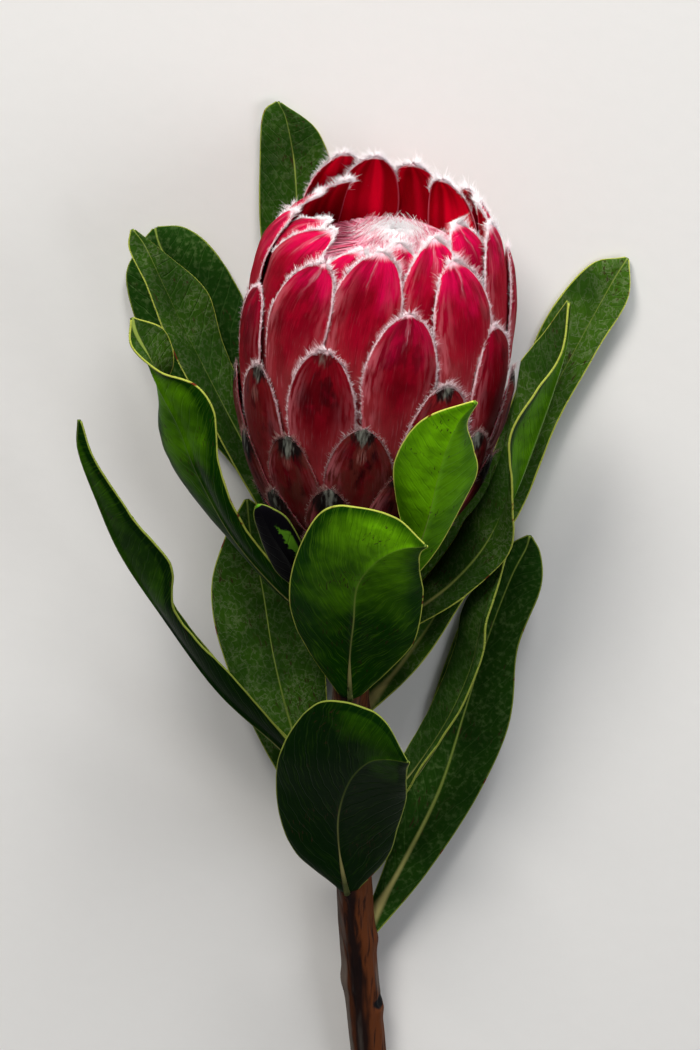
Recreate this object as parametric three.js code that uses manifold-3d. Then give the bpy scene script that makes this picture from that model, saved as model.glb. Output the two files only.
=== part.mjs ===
// A cut protea bloom on its leafy stem, laid down on a table with the open side of the bloom raised.
// Millimetres. The flower is modelled upright: the base of its head at the origin, +Z along the
// stem to the bloom, +X to the right and -Y toward the side that is on top once it lies down.
import * as THREE from "three";
import { mergeVertices } from "three/addons/utils/BufferGeometryUtils.js";
import Module from "manifold-3d";

const wasm = await Module();
wasm.setup();

const degrees = Math.PI / 180;
const goldenAngle = 137.5 * degrees;

// Driving dimensions
const stemRadius = 5;
const stemPoints = [[-0.4, 0, -0.3], [-2, 0, -20], [-2, 0, -46], [-2, 0, -80], [-1, 0, -112], [1, 0, -140],
  [4, -1.3, -180]];
const headLean = 5 * degrees;
const headShift = -0.5;
const headProfile = [[7, 0], [18, 5], [24, 10], [29.5, 18], [34, 30], [37, 45], [37.5, 60], [36.3, 75], [33.5, 88],
  [30.3, 98], [27.5, 104], [25.5, 107.5]];
const gap = 0.3;
const bladeThickness = 0.8;

// Lying down, the stem's axis rises toward the bloom, and the table is this far below the head's base.
const tipRise = 8.2 * degrees;
const tableDepth = 28.8;
const tablePress = 0.2;

// Colours
const crimson = new THREE.MeshStandardMaterial({ color: 0xa8102c, roughness: 0.55 });
const silkyPink = new THREE.MeshStandardMaterial({ color: 0xe3a3ae, roughness: 0.8 });
const leafGreen = new THREE.MeshStandardMaterial({ color: 0x35591f, roughness: 0.5 });
const barkBrown = new THREE.MeshStandardMaterial({ color: 0x6b3c1e, roughness: 0.75 });

// Helpers for closed solids
function solidOf(positions, triangles) {
  const mesh = new wasm.Mesh({
    numProp: 3,
    vertProperties: new Float32Array(positions),
    triVerts: new Uint32Array(triangles),
  });
  return new wasm.Manifold(mesh);
}

function solidOfGeometry(geometry) {
  const bare = geometry.clone();
  bare.deleteAttribute("normal");
  bare.deleteAttribute("uv");
  const merged = mergeVertices(bare);
  return solidOf(merged.attributes.position.array, merged.index.array);
}

function meshOf(name, solid, material) {
  const faces = solid.getMesh();
  const geometry = new THREE.BufferGeometry();
  geometry.setAttribute("position", new THREE.BufferAttribute(faces.vertProperties, 3));
  geometry.setIndex(new THREE.BufferAttribute(faces.triVerts, 1));
  geometry.computeVertexNormals();
  const mesh = new THREE.Mesh(geometry, material);
  mesh.name = name;
  return mesh;
}

// A blade of even thickness round the surface placeAt(across, along), across -1..1 and along 0..1.
// Both faces are split into the same triangles.
function bladeSolid(placeAt, thicknessAt, acrossSteps, alongSteps, spacing) {
  const columns = acrossSteps + 1;
  const rows = alongSteps + 1;
  const acrossOf = (column) => (2 * column) / acrossSteps - 1;
  const alongOf = (row) => spacing(row / alongSteps);
  const grid = [];
  for (let row = 0; row < rows; row++) {
    for (let column = 0; column < columns; column++) {
      grid.push(placeAt(acrossOf(column), alongOf(row)));
    }
  }
  const at = (column, row) => grid[row * columns + column];
  const upper = [];
  const lower = [];
  for (let row = 0; row < rows; row++) {
    for (let column = 0; column < columns; column++) {
      const left = at(Math.max(column - 1, 0), row);
      const right = at(Math.min(column + 1, acrossSteps), row);
      const before = at(column, Math.max(row - 1, 0));
      const after = at(column, Math.min(row + 1, alongSteps));
      const normal = right.clone().sub(left).cross(after.clone().sub(before)).normalize();
      const half = thicknessAt(acrossOf(column), alongOf(row)) / 2;
      upper.push(...at(column, row).clone().addScaledVector(normal, half));
      lower.push(...at(column, row).clone().addScaledVector(normal, -half));
    }
  }
  const below = columns * rows;
  const triangles = [];
  const quad = (a, b, c, d) => triangles.push(a, b, c, a, c, d);
  for (let row = 0; row < alongSteps; row++) {
    for (let column = 0; column < acrossSteps; column++) {
      const a = row * columns + column;
      const b = a + 1;
      const c = b + columns;
      const d = a + columns;
      quad(a, b, c, d);
      triangles.push(below + a, below + c, below + b, below + a, below + d, below + c);
    }
    const first = row * columns;
    const last = first + acrossSteps;
    quad(first, first + columns, below + first + columns, below + first);
    quad(last + columns, last, below + last, below + last + columns);
  }
  for (let column = 0; column < acrossSteps; column++) {
    const top = alongSteps * columns + column;
    quad(column + 1, column, below + column, below + column + 1);
    quad(top, top + 1, below + top + 1, below + top);
  }
  return solidOf([...upper, ...lower], triangles);
}

// The stem: a woody tube with a cushion of bark under each leaf and the scar of a lost leaf.
// Each cushion is [height, direction round the stem in degrees, 0 toward -Y and 90 toward +X].
const cushions = [[-14, 180], [-23, 20], [-23, -140], [-30, -80], [-28, 75], [-44, 0], [-54, 100], [-80, 180],
  [-82, -80], [-83, 60], [-104, -110], [-109, 0], [-128, 80], [-142, -80], [-150, 85]];
const cushionHeight = 0.8;
const cushionLength = 3.5;

function stemSolid(extra) {
  const sides = 12;
  const rings = 38;
  const route = new THREE.CatmullRomCurve3(stemPoints.map((point) => new THREE.Vector3(...point)));
  const positions = [];
  const triangles = [];
  for (let ring = 0; ring <= rings; ring++) {
    const centre = route.getPointAt(ring / rings);
    for (let side = 0; side < sides; side++) {
      const angle = (side / sides) * 2 * Math.PI;
      let radius = stemRadius + extra + 0.15 * Math.sin(3 * angle + centre.z * 0.09);
      for (const [height, direction] of cushions) {
        const facing = Math.max(0, Math.cos(angle - direction * degrees));
        radius += cushionHeight * facing ** 2 * Math.exp(-(((centre.z - height) / cushionLength) ** 2));
      }
      positions.push(centre.x + radius * Math.sin(angle), centre.y - radius * Math.cos(angle), centre.z);
    }
  }
  for (let ring = 0; ring < rings; ring++) {
    for (let side = 0; side < sides; side++) {
      const a = ring * sides + side;
      const b = ring * sides + ((side + 1) % sides);
      triangles.push(a, a + sides, b, b, a + sides, b + sides);
    }
  }
  for (let side = 1; side < sides - 1; side++) {
    const end = rings * sides;
    triangles.push(0, side, side + 1);
    triangles.push(end, end + side + 1, end + side);
  }
  return solidOf(positions, triangles);
}

// The head's frame leans to the right of the stem.
const headMatrix = new THREE.Matrix4()
  .makeTranslation(headShift, 0, 0)
  .multiply(new THREE.Matrix4().makeRotationY(headLean));
const headInverse = headMatrix.clone().invert();

// Lifts a point of the upright flower that would lie less than clearance above the table.
function aboveTable(point, clearance) {
  const lowest = (tableDepth - clearance + point.z * Math.sin(tipRise)) / Math.cos(tipRise);
  point.y = Math.min(point.y, lowest);
  return point;
}

// An outline is a curve of (radius, height). A place on it is the distance along it, in millimetres,
// and it gives the point, and how far the outline leans outward there.
function outlineOf(points) {
  const curve = new THREE.SplineCurve(points.map(([radius, height]) => new THREE.Vector2(radius, height)));
  const length = curve.getLength();
  const fraction = (place) => Math.min(Math.max(place / length, 0), 1);
  return {
    length,
    point: (place) => curve.getPointAt(fraction(place)),
    outward: (place) => {
      const tangent = curve.getTangentAt(fraction(place));
      return new THREE.Vector2(tangent.y, -tangent.x);
    },
    placeOfHeight: (height) => {
      let low = 0;
      let high = length;
      for (let step = 0; step < 30; step++) {
        const middle = (low + high) / 2;
        if (curve.getPointAt(fraction(middle)).y < height) low = middle;
        else high = middle;
      }
      return low;
    },
  };
}

const headOutline = outlineOf(headProfile);

// One scale on an outline, such as a bract or a floret. It is fullest a little below its tip, which
// hugs the scales behind it, and its foot sinks under the scales below it.
function scaleSolid(outline, scale) {
  const foot = Math.max(scale.tipPlace - scale.length, 0);
  const widest = 0.45;
  const fullest = 0.75;
  const placeAt = (across, along) => {
    const place = foot + (scale.tipPlace - foot) * along;
    const { x: radius, y: height } = outline.point(place);
    const outward = outline.outward(place);
    const past = Math.max(0, (along - widest) / (1 - widest));
    const narrowing = along < widest ? 0.8 + 0.2 * (along / widest) : (1 - past ** 2) ** 0.6;
    const halfWidth = Math.max((scale.width / 2) * narrowing, scale.tipWidth / 2);
    const sunk = scale.sink * Math.max(0, 1 - along / fullest);
    const hugged = scale.hug * Math.max(0, (along - fullest) / (1 - fullest)) ** 2;
    const depth = scale.depth + sunk + hugged + scale.curl * across ** 2;
    const ringRadius = radius - outward.x * depth;
    const turn = (across * halfWidth) / Math.max(radius, scale.width / 2);
    const angle = scale.azimuth + scale.swirl * along + turn;
    const point = new THREE.Vector3(
      ringRadius * Math.sin(angle),
      -ringRadius * Math.cos(angle),
      height - outward.y * depth,
    );
    const clearance = scale.thickness / 2 - tablePress;
    return aboveTable(point.applyMatrix4(headMatrix), clearance).applyMatrix4(headInverse);
  };
  const spacing = (t) => 1 - (1 - t) ** 1.5;
  return bladeSolid(placeAt, () => scale.thickness, scale.acrossSteps, scale.alongSteps, spacing);
}

// The outer skin of a joined solid, without the pockets that are closed in between its pieces
function withoutPockets(solid) {
  const shells = solid.decompose();
  return shells.reduce((best, shell) => (shell.volume() > best.volume() ? shell : best));
}

// A solid turned from an outline and closed on the axis
function turnedSolid(points, sides) {
  const closed = [[0, points[0][1]], ...points, [0, points.at(-1)[1]]];
  const profile = closed.map(([radius, height]) => new THREE.Vector2(radius, height));
  const lathe = new THREE.LatheGeometry(profile, sides);
  lathe.rotateX(90 * degrees);
  return solidOfGeometry(lathe);
}

// The bracts stand in spirals on a smaller core. The lowest are short, and the highest close the rim.
const firstBract = -30;
const lastBract = 35;
const firstAzimuth = -4.5 * degrees;
const bractSpacing = { middleHeight: 55, lowerStep: 1.6, upperStep: 2.42, rimHeight: 102.6, rimTilt: 1.3 };
const bractLength = 38;
const coreDepth = 4.4;
const coreTop = 72;

const bractAzimuth = (index) => firstAzimuth - goldenAngle * index;

// The rim is a little wavy, and higher on the table side of the head
function bractTipHeight(index) {
  const step = index < 0 ? bractSpacing.lowerStep : bractSpacing.upperStep;
  const tilt = bractSpacing.rimTilt * (1 - Math.cos(bractAzimuth(index)));
  const rim = bractSpacing.rimHeight + Math.sin(index * 2.4) + tilt;
  return Math.min(bractSpacing.middleHeight + step * index, rim);
}

function bractSolid(index) {
  const tipHeight = bractTipHeight(index);
  const rimOrder = Math.max(0, index - 18);
  return scaleSolid(headOutline, {
    tipPlace: headOutline.placeOfHeight(tipHeight),
    length: bractLength,
    azimuth: bractAzimuth(index),
    width: 13 + 8 * Math.min(1, Math.max(0, (tipHeight - 10) / 50)),
    tipWidth: 1.2,
    depth: 0.4 + 0.2 * rimOrder,
    sink: 4.5,
    hug: 0.6,
    curl: 0.3,
    swirl: 0,
    thickness: bladeThickness,
    acrossSteps: 3,
    alongSteps: 4,
  });
}

function bractsSolid() {
  const core = [];
  for (const [radius, height] of headProfile) {
    if (height > coreTop) break;
    const place = headOutline.placeOfHeight(height);
    const outward = headOutline.outward(place);
    core.push([Math.max(radius - outward.x * coreDepth, 5), Math.max(height - outward.y * coreDepth, 0)]);
  }
  core.push([headOutline.point(headOutline.placeOfHeight(coreTop)).x - coreDepth, coreTop]);
  let solid = turnedSolid(core, 20);
  for (let index = firstBract; index <= lastBract; index++) {
    solid = solid.add(bractSolid(index));
  }
  return withoutPockets(solid);
}

// The florets: a dome of silky scales that close over the middle
const domeProfile = [[25, coreTop + gap], [25, 78], [23, 84], [17.5, 89], [9.5, 92], [0.4, 93]];
const floretCount = 34;
const domeSink = 1.4;

function floretsSolid() {
  const outline = outlineOf(domeProfile);
  const inner = domeProfile.map(([radius, height]) => {
    const outward = outline.outward(outline.placeOfHeight(height));
    return [Math.max(radius - outward.x * domeSink, 0.2), Math.max(height - outward.y * domeSink, coreTop + gap)];
  });
  let solid = turnedSolid(inner, 16);
  for (let index = 0; index < floretCount; index++) {
    const rank = (index + 4) / (floretCount + 3);
    solid = solid.add(scaleSolid(outline, {
      tipPlace: outline.length * (1 - (1 - rank) ** 0.62 * 0.72),
      length: 11,
      azimuth: goldenAngle * index,
      width: 6.5,
      tipWidth: 1,
      depth: 0.3,
      sink: 2,
      hug: 0.2,
      curl: 0.5,
      swirl: 14 * degrees,
      thickness: bladeThickness,
      acrossSteps: 2,
      alongSteps: 2,
    }));
  }
  return withoutPockets(solid);
}

// A leaf is a list of rows from its base to its tip. Each row has a point of the midrib and the
// points of both margins beside it; the last row has only the tip. Whole millimetres.
const leafRows = {
  leaf_front_low: [
    [[-3, -4, -109], [-5, -5, -107], [0, -5, -107]],
    [[-5, -12, -89], [-18, -12, -89], [8, -12, -93]],
    [[-5, -20, -72], [-22, -18, -68], [11, -20, -77]],
    [[-2, -30, -55], [-20, -27, -46], [13, -29, -62]],
    [[3, -38, -44], [-10, -36, -27], [13, -37, -51]],
    [[8, -43, -40], [5, -42, -27], [13, -42, -44]],
    [[13, -46, -39]],
  ],
  leaf_front_middle: [
    [[-2, -4, -45], [-5, -5, -43], [1, -5, -43]],
    [[-2, -12, -27], [-14, -12, -24], [9, -12, -31]],
    [[-1, -22, -10], [-18, -20, -6], [15, -21, -17]],
    [[0, -32, 7], [-16, -29, 14], [17, -31, 3]],
    [[5, -40, 19], [-8, -38, 33], [16, -39, 16]],
    [[11, -46, 26], [8, -45, 35], [16, -45, 24]],
    [[17, -50, 29]],
  ],
  leaf_front_small: [
    [[1, -3, -18], [0, -4, -17], [3, -3, -18]],
    [[9, -16, -3], [7, -16, -2], [12, -15, -4]],
    [[15, -27, 14], [11, -27, 17], [20, -26, 13]],
    [[18, -37, 30], [10, -35, 32], [25, -35, 29]],
    [[20, -45, 46], [9, -43, 48], [30, -41, 45]],
    [[22, -51, 58], [12, -49, 60], [29, -46, 55]],
    [[25, -55, 68], [18, -54, 69], [27, -53, 66]],
    [[29, -58, 75]],
  ],
  leaf_left_curled: [
    [[-4, -2, -26], [-5, -1, -28], [-3, -3, -24]],
    [[-19, -8, -10], [-21, -3, -13], [-17, -11, -6]],
    [[-32, -11, 9], [-36, -3, 7], [-29, -17, 14]],
    [[-41, -13, 29], [-47, -4, 23], [-36, -21, 36]],
    [[-46, -14, 44], [-52, -6, 38], [-37, -22, 52]],
    [[-51, -15, 56], [-51, -7, 50], [-42, -21, 60]],
    [[-54, -16, 65], [-48, -8, 60], [-51, -20, 63]],
    [[-57, -16, 72], [-50, -10, 70], [-58, -18, 69]],
    [[-58, -15, 76]],
  ],
  leaf_far_left: [
    [[-4, -1, -82], [-4, 1, -80], [-4, -3, -82]],
    [[-20, -5, -61], [-19, -2, -60], [-19, -9, -56]],
    [[-37, -9, -40], [-34, -3, -41], [-36, -15, -29]],
    [[-52, -13, -13], [-50, -5, -14], [-48, -20, -9]],
    [[-62, -16, 7], [-56, -7, 6], [-49, -23, 8]],
    [[-68, -18, 25], [-65, -11, 23], [-59, -23, 22]],
    [[-72, -20, 40], [-69, -16, 36], [-68, -22, 38]],
    [[-72, -20, 49]],
  ],
  leaf_left_middle: [
    [[-4, 1, -104], [-5, 3, -103], [-2, 1, -103]],
    [[-11, 6, -84], [-18, 4, -83], [-6, 5, -83]],
    [[-18, 9, -64], [-28, 7, -64], [-8, 7, -65]],
    [[-23, 13, -43], [-37, 12, -42], [-9, 9, -44]],
    [[-26, 17, -23], [-40, 17, -24], [-12, 13, -21]],
    [[-29, 20, -9], [-36, 20, -9], [-19, 18, -6]],
    [[-30, 21, 2]],
  ],
  leaf_tiny: [
    [[-2, -4, -21], [-3, -4, -20], [-1, -4, -20]],
    [[-8, -15, -7], [-11, -14, -8], [-5, -15, -5]],
    [[-15, -19, 2], [-20, -17, 0], [-11, -19, 4]],
    [[-19, -24, 12], [-24, -21, 10], [-14, -25, 14]],
    [[-23, -27, 21], [-26, -25, 19], [-18, -28, 24]],
    [[-25, -29, 27], [-27, -28, 25], [-22, -29, 28]],
    [[-26, -29, 29]],
  ],
  leaf_right_back: [
    [[1, 2, -54], [1, 3, -53], [2, 1, -55]],
    [[14, 9, -40], [9, 12, -35], [17, 7, -42]],
    [[25, 16, -25], [19, 21, -15], [29, 12, -24]],
    [[39, 23, 1], [33, 27, 3], [44, 18, 0]],
    [[51, 30, 26], [43, 34, 30], [54, 25, 24]],
    [[61, 34, 46], [50, 37, 49], [64, 29, 43]],
    [[68, 36, 60], [61, 38, 64], [72, 32, 57]],
    [[72, 37, 67]],
  ],
  leaf_right_folded: [
    [[1, -2, -31], [0, -1, -30], [2, -3, -31]],
    [[16, -8, -16], [13, -3, -15], [19, -12, -16]],
    [[26, -11, -5], [22, -4, -2], [30, -16, -5]],
    [[34, -14, 8], [29, -6, 13], [40, -20, 10]],
    [[40, -17, 24], [33, -9, 34], [40, -25, 30]],
    [[45, -18, 40], [38, -11, 51], [39, -27, 48]],
    [[50, -18, 57], [42, -11, 61], [45, -26, 60]],
    [[53, -17, 69], [48, -11, 70], [52, -21, 69]],
    [[54, -14, 80]],
  ],
  leaf_lower_right: [
    [[2, 1, -127], [2, 3, -126], [4, 0, -128]],
    [[13, 7, -107], [9, 9, -105], [19, 5, -110]],
    [[23, 12, -86], [15, 15, -84], [33, 9, -87]],
    [[30, 16, -62], [21, 19, -61], [42, 12, -64]],
    [[36, 19, -41], [28, 22, -39], [44, 15, -42]],
    [[42, 21, -23], [36, 24, -20], [50, 17, -24]],
    [[46, 22, -14], [42, 23, -13], [50, 20, -15]],
    [[47, 22, -10]],
  ],
  leaf_lower_right_folded: [
    [[0, -2, -82], [0, -1, -81], [2, -4, -81]],
    [[12, -6, -73], [9, -3, -72], [12, -10, -74]],
    [[19, -8, -62], [14, -3, -62], [17, -14, -62]],
    [[26, -11, -46], [21, -4, -46], [27, -18, -42]],
    [[31, -13, -30], [26, -6, -29], [33, -19, -24]],
    [[34, -14, -13], [28, -8, -15], [34, -19, -13]],
    [[37, -14, -2], [33, -10, -5], [37, -17, -3]],
    [[39, -14, 5]],
  ],
  leaf_upper_left: [
    [[-4, 2, -30], [-4, 0, -29], [-4, 3, -30]],
    [[-15, 5, -9], [-17, 3, -9], [-13, 7, -9]],
    [[-26, 10, 14], [-30, 6, 15], [-22, 14, 15]],
    [[-36, 14, 34], [-42, 9, 38], [-30, 19, 34]],
    [[-45, 17, 53], [-51, 12, 57], [-36, 22, 49]],
    [[-52, 19, 69], [-56, 15, 71], [-40, 23, 64]],
    [[-56, 20, 79], [-60, 18, 79], [-50, 22, 75]],
    [[-59, 20, 84]],
  ],
  leaf_upper_left_back: [
    [[-3, 3, -21], [-4, 2, -20], [-2, 4, -20]],
    [[-13, 14, -5], [-16, 12, -5], [-10, 16, -5]],
    [[-25, 25, 14], [-33, 22, 11], [-18, 27, 17]],
    [[-36, 31, 31], [-47, 29, 27], [-25, 32, 35]],
    [[-45, 35, 49], [-58, 33, 46], [-30, 35, 54]],
    [[-50, 37, 64], [-62, 36, 61], [-38, 37, 69]],
    [[-53, 38, 71], [-59, 38, 69], [-46, 39, 75]],
    [[-54, 39, 75]],
  ],
  leaf_top_back: [
    [[-1, 4, -12], [-3, 4, -12], [1, 4, -12]],
    [[-3, 22, 3], [-7, 22, 3], [1, 22, 3]],
    [[-11, 33, 30], [-17, 31, 30], [-6, 34, 30]],
    [[-15, 36, 52], [-23, 34, 52], [-8, 37, 51]],
    [[-16, 39, 75], [-26, 38, 75], [-4, 40, 73]],
    [[-17, 42, 93], [-26, 41, 95], [-6, 42, 89]],
    [[-19, 43, 105], [-25, 42, 107], [-11, 43, 102]],
    [[-21, 43, 110]],
  ],
  leaf_back_middle: [
    [[-2, 4, -79], [-5, 4, -78], [1, 4, -78]],
    [[-1, 15, -58], [-5, 14, -58], [3, 14, -58]],
    [[0, 20, -38], [-9, 19, -38], [9, 19, -37]],
    [[1, 24, -18], [-15, 23, -18], [16, 23, -17]],
    [[2, 27, -4], [-10, 26, -4], [13, 26, -3]],
    [[3, 28, 4], [-4, 27, 3], [9, 27, 4]],
    [[3, 28, 8]],
  ],
};
const leafSwell = 1.1;
const leafTipWidth = 1.6;
const leafTableClearance = 0.6;
const headClearance = 1.5;

function smoothThrough(points, along) {
  const last = points.length - 1;
  const x = Math.min(Math.max(along, 0), 1) * last;
  const index = Math.min(Math.floor(x), last - 1);
  const f = x - index;
  const p1 = points[index];
  const p2 = points[index + 1];
  const p0 = points[index - 1] ?? p1.clone().multiplyScalar(2).sub(p2);
  const p3 = points[index + 2] ?? p2.clone().multiplyScalar(2).sub(p1);
  const sum = new THREE.Vector3();
  sum.addScaledVector(p0, (-f + 2 * f * f - f ** 3) / 2);
  sum.addScaledVector(p1, (2 - 5 * f * f + 3 * f ** 3) / 2);
  sum.addScaledVector(p2, (f + 4 * f * f - 3 * f ** 3) / 2);
  sum.addScaledVector(p3, (f ** 3 - f * f) / 2);
  return sum;
}

// A leaf leans on the bracts and on the table, and goes into neither.
function keptClear(point) {
  const inHead = point.clone().applyMatrix4(headInverse);
  if (inHead.z > 0 && inHead.z < headProfile.at(-1)[1]) {
    const radius = headOutline.point(headOutline.placeOfHeight(inHead.z)).x + headClearance;
    const distance = Math.hypot(inHead.x, inHead.y);
    if (distance < radius) {
      inHead.x *= radius / distance;
      inHead.y *= radius / distance;
      point = inHead.applyMatrix4(headMatrix);
    }
  }
  return aboveTable(point, leafTableClearance);
}

function leafSolid(rows) {
  const vector = (place) => new THREE.Vector3(...place);
  const midrib = rows.map((row) => vector(row[0]));
  const margins = [1, 2].map((side) => rows.map((row, index) => {
    if (row.length > 1) return vector(row[side]).sub(vector(row[0]));
    const before = rows[index - 1];
    return vector(before[side]).sub(vector(before[0])).setLength(leafTipWidth / 2);
  }));
  const placeAt = (across, along) => {
    const reach = Math.abs(across);
    const [left, right] = margins.map((margin) => smoothThrough(margin, along));
    const tangent = smoothThrough(midrib, along + 0.02).sub(smoothThrough(midrib, along - 0.02)).normalize();
    const width = right.clone().sub(left);
    const face = tangent.clone().cross(width).normalize();
    const swell = leafSwell * 4 * (reach - reach ** 2) * Math.min(1, width.length() / 20);
    const point = smoothThrough(midrib, along)
      .addScaledVector(across < 0 ? left : right, reach)
      .addScaledVector(face, -swell);
    return keptClear(point);
  };
  const thicknessAt = (across, along) => {
    const rib = across === 0 ? 1.1 * (1 - along) + 0.3 : 0;
    return bladeThickness + rib + 1.2 * Math.max(0, 1 - along * 6);
  };
  const spacing = (t) => 0.55 * t + 0.45 * Math.sin((t * Math.PI) / 2);
  return bladeSolid(placeAt, thicknessAt, 6, 12, spacing);
}

// Putting the flower together, upright
const upright = new THREE.Group();
const head = new THREE.Group();
headMatrix.decompose(head.position, head.quaternion, head.scale);
upright.add(head);

// Whatever meets the table is flat there: the bloom rests on a few pressed bracts, and the stem on
// the edge of its cut end.
const tableBlock = new THREE.BoxGeometry(400, 500, 20);
tableBlock.translate(0, 0, -10 - tableDepth);
tableBlock.applyMatrix4(new THREE.Matrix4().makeRotationX(90 * degrees - tipRise));
const table = solidOfGeometry(tableBlock);
const headTable = solidOfGeometry(tableBlock.clone().applyMatrix4(headInverse));

const stemSpace = stemSolid(gap);
upright.add(meshOf("stem", stemSolid(0).subtract(table), barkBrown));
head.add(meshOf("bracts", bractsSolid().subtract(headTable), crimson));
head.add(meshOf("florets", floretsSolid(), silkyPink));
for (const [name, rows] of Object.entries(leafRows)) {
  upright.add(meshOf(name, leafSolid(rows).subtract(stemSpace).subtract(table), leafGreen));
}

// Laid down: the stem points along -Y, its cut end and the bloom rest on the table, and the
// origin is at the middle of the whole flower's foot.
const flower = new THREE.Group();
flower.add(upright);
upright.rotation.x = tipRise - 90 * degrees;
upright.updateMatrixWorld(true);
const bounds = new THREE.Box3().setFromObject(flower, true);
const middle = bounds.getCenter(new THREE.Vector3());
upright.position.set(-middle.x, -middle.y, -bounds.min.z);

export default flower;
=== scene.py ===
# A cut protea bloom on its leafy stem, lying on a pale table with the open side of the bloom raised.
# Metres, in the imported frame: the stem points along -Y, and the side that the camera sees is up.
import math

import bmesh
import bpy
import numpy as np
from mathutils import Matrix, Vector, noise


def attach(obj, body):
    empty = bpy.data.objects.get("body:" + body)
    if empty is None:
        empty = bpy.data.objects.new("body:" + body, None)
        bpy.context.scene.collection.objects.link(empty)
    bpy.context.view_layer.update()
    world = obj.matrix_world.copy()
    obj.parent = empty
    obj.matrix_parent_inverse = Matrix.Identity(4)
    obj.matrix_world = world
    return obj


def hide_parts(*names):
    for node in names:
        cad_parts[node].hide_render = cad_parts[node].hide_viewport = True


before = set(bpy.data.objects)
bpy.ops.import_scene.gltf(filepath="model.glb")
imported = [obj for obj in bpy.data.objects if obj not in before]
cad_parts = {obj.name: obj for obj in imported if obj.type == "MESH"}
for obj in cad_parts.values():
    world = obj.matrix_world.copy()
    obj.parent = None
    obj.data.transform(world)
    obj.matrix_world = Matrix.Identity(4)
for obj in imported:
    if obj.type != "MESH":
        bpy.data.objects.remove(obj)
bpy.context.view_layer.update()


# Camera
# The photograph looks at the upright flower from 30 degrees above the horizon. The flower lies on
# its back here, so the camera looks down on it from that same side of the flower.
picture_height = 1050
sensor_height = 36.0
camera_distance = 1.2
nearest_seen = 0.05
pixels_per_metre = 3750
seen_middle = Vector((-0.00204, 0.03794, 0.02968))
camera_turn = math.radians(-21.8)


def linked(name, data):
    """A new object in the scene"""
    made = bpy.data.objects.new(name, data)
    bpy.context.collection.objects.link(made)
    return made


camera = linked("camera", bpy.data.cameras.new("camera"))
camera.data.lens = sensor_height * camera_distance * pixels_per_metre / picture_height
camera.data.clip_start = nearest_seen
camera.location = seen_middle + Vector((0, -math.sin(camera_turn), math.cos(camera_turn))) * camera_distance
camera.rotation_euler = (camera_turn, 0, 0)
bpy.context.scene.camera = camera


# Table and light
# The flower lies on a pale matt table, under one large soft lamp from the bloom's left, a weaker
# one from the right and a pale room. Node trees here and below are written with these two classes.
table_size = 6
table_colours = (0.78, 0.77, 0.75), (0.7, 0.69, 0.67)
table_relief = 0.00005
room_colour = (0.92, 0.95, 1, 1)
room_strength = 0.15
lamps = [
    # name, place, size, power, colour
    ("key_lamp", (-0.6, 1.8, 1.4), 0.8, 44, (1, 0.97, 0.93)),
    ("fill_lamp", (1.6, 0, 1.4), 1.2, 12, (0.95, 0.97, 1)),
    ("bloom_lamp", (0.4, 2.1, 0.8), 0.7, 32, (1, 1, 1)),
]


class Value:
    """A socket in a node tree. Arithmetic on it adds Math nodes to that tree."""

    def __init__(self, graph, socket):
        self.graph = graph
        self.socket = socket

    def out(self, name):
        return Value(self.graph, self.socket.node.outputs[name])

    def math(self, operation, *operands):
        return self.graph.node("ShaderNodeMath", {"operation": operation}, dict(enumerate(operands)))

    def __add__(self, other):
        return self.math("ADD", self, other)

    def __sub__(self, other):
        return self.math("SUBTRACT", self, other)

    def __rsub__(self, other):
        return self.math("SUBTRACT", other, self)

    def __mul__(self, other):
        return self.math("MULTIPLY", self, other)

    def __truediv__(self, other):
        return self.math("DIVIDE", self, other)

    def __rtruediv__(self, other):
        return self.math("DIVIDE", other, self)

    def __pow__(self, power):
        return self.math("POWER", self, power)

    def __abs__(self):
        return self.math("ABSOLUTE", self)

    __radd__ = __add__
    __rmul__ = __mul__

    def at_least(self, low):
        return self.math("MAXIMUM", self, low)

    def at_most(self, high):
        return self.math("MINIMUM", self, high)

    def rising(self, low, high):
        """0 up to low, 1 from high on, smooth between; it falls instead where low is above high"""
        sockets = {"Value": self, "From Min": low, "From Max": high}
        return self.graph.node("ShaderNodeMapRange", {"interpolation_type": "SMOOTHSTEP"}, sockets)


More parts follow.
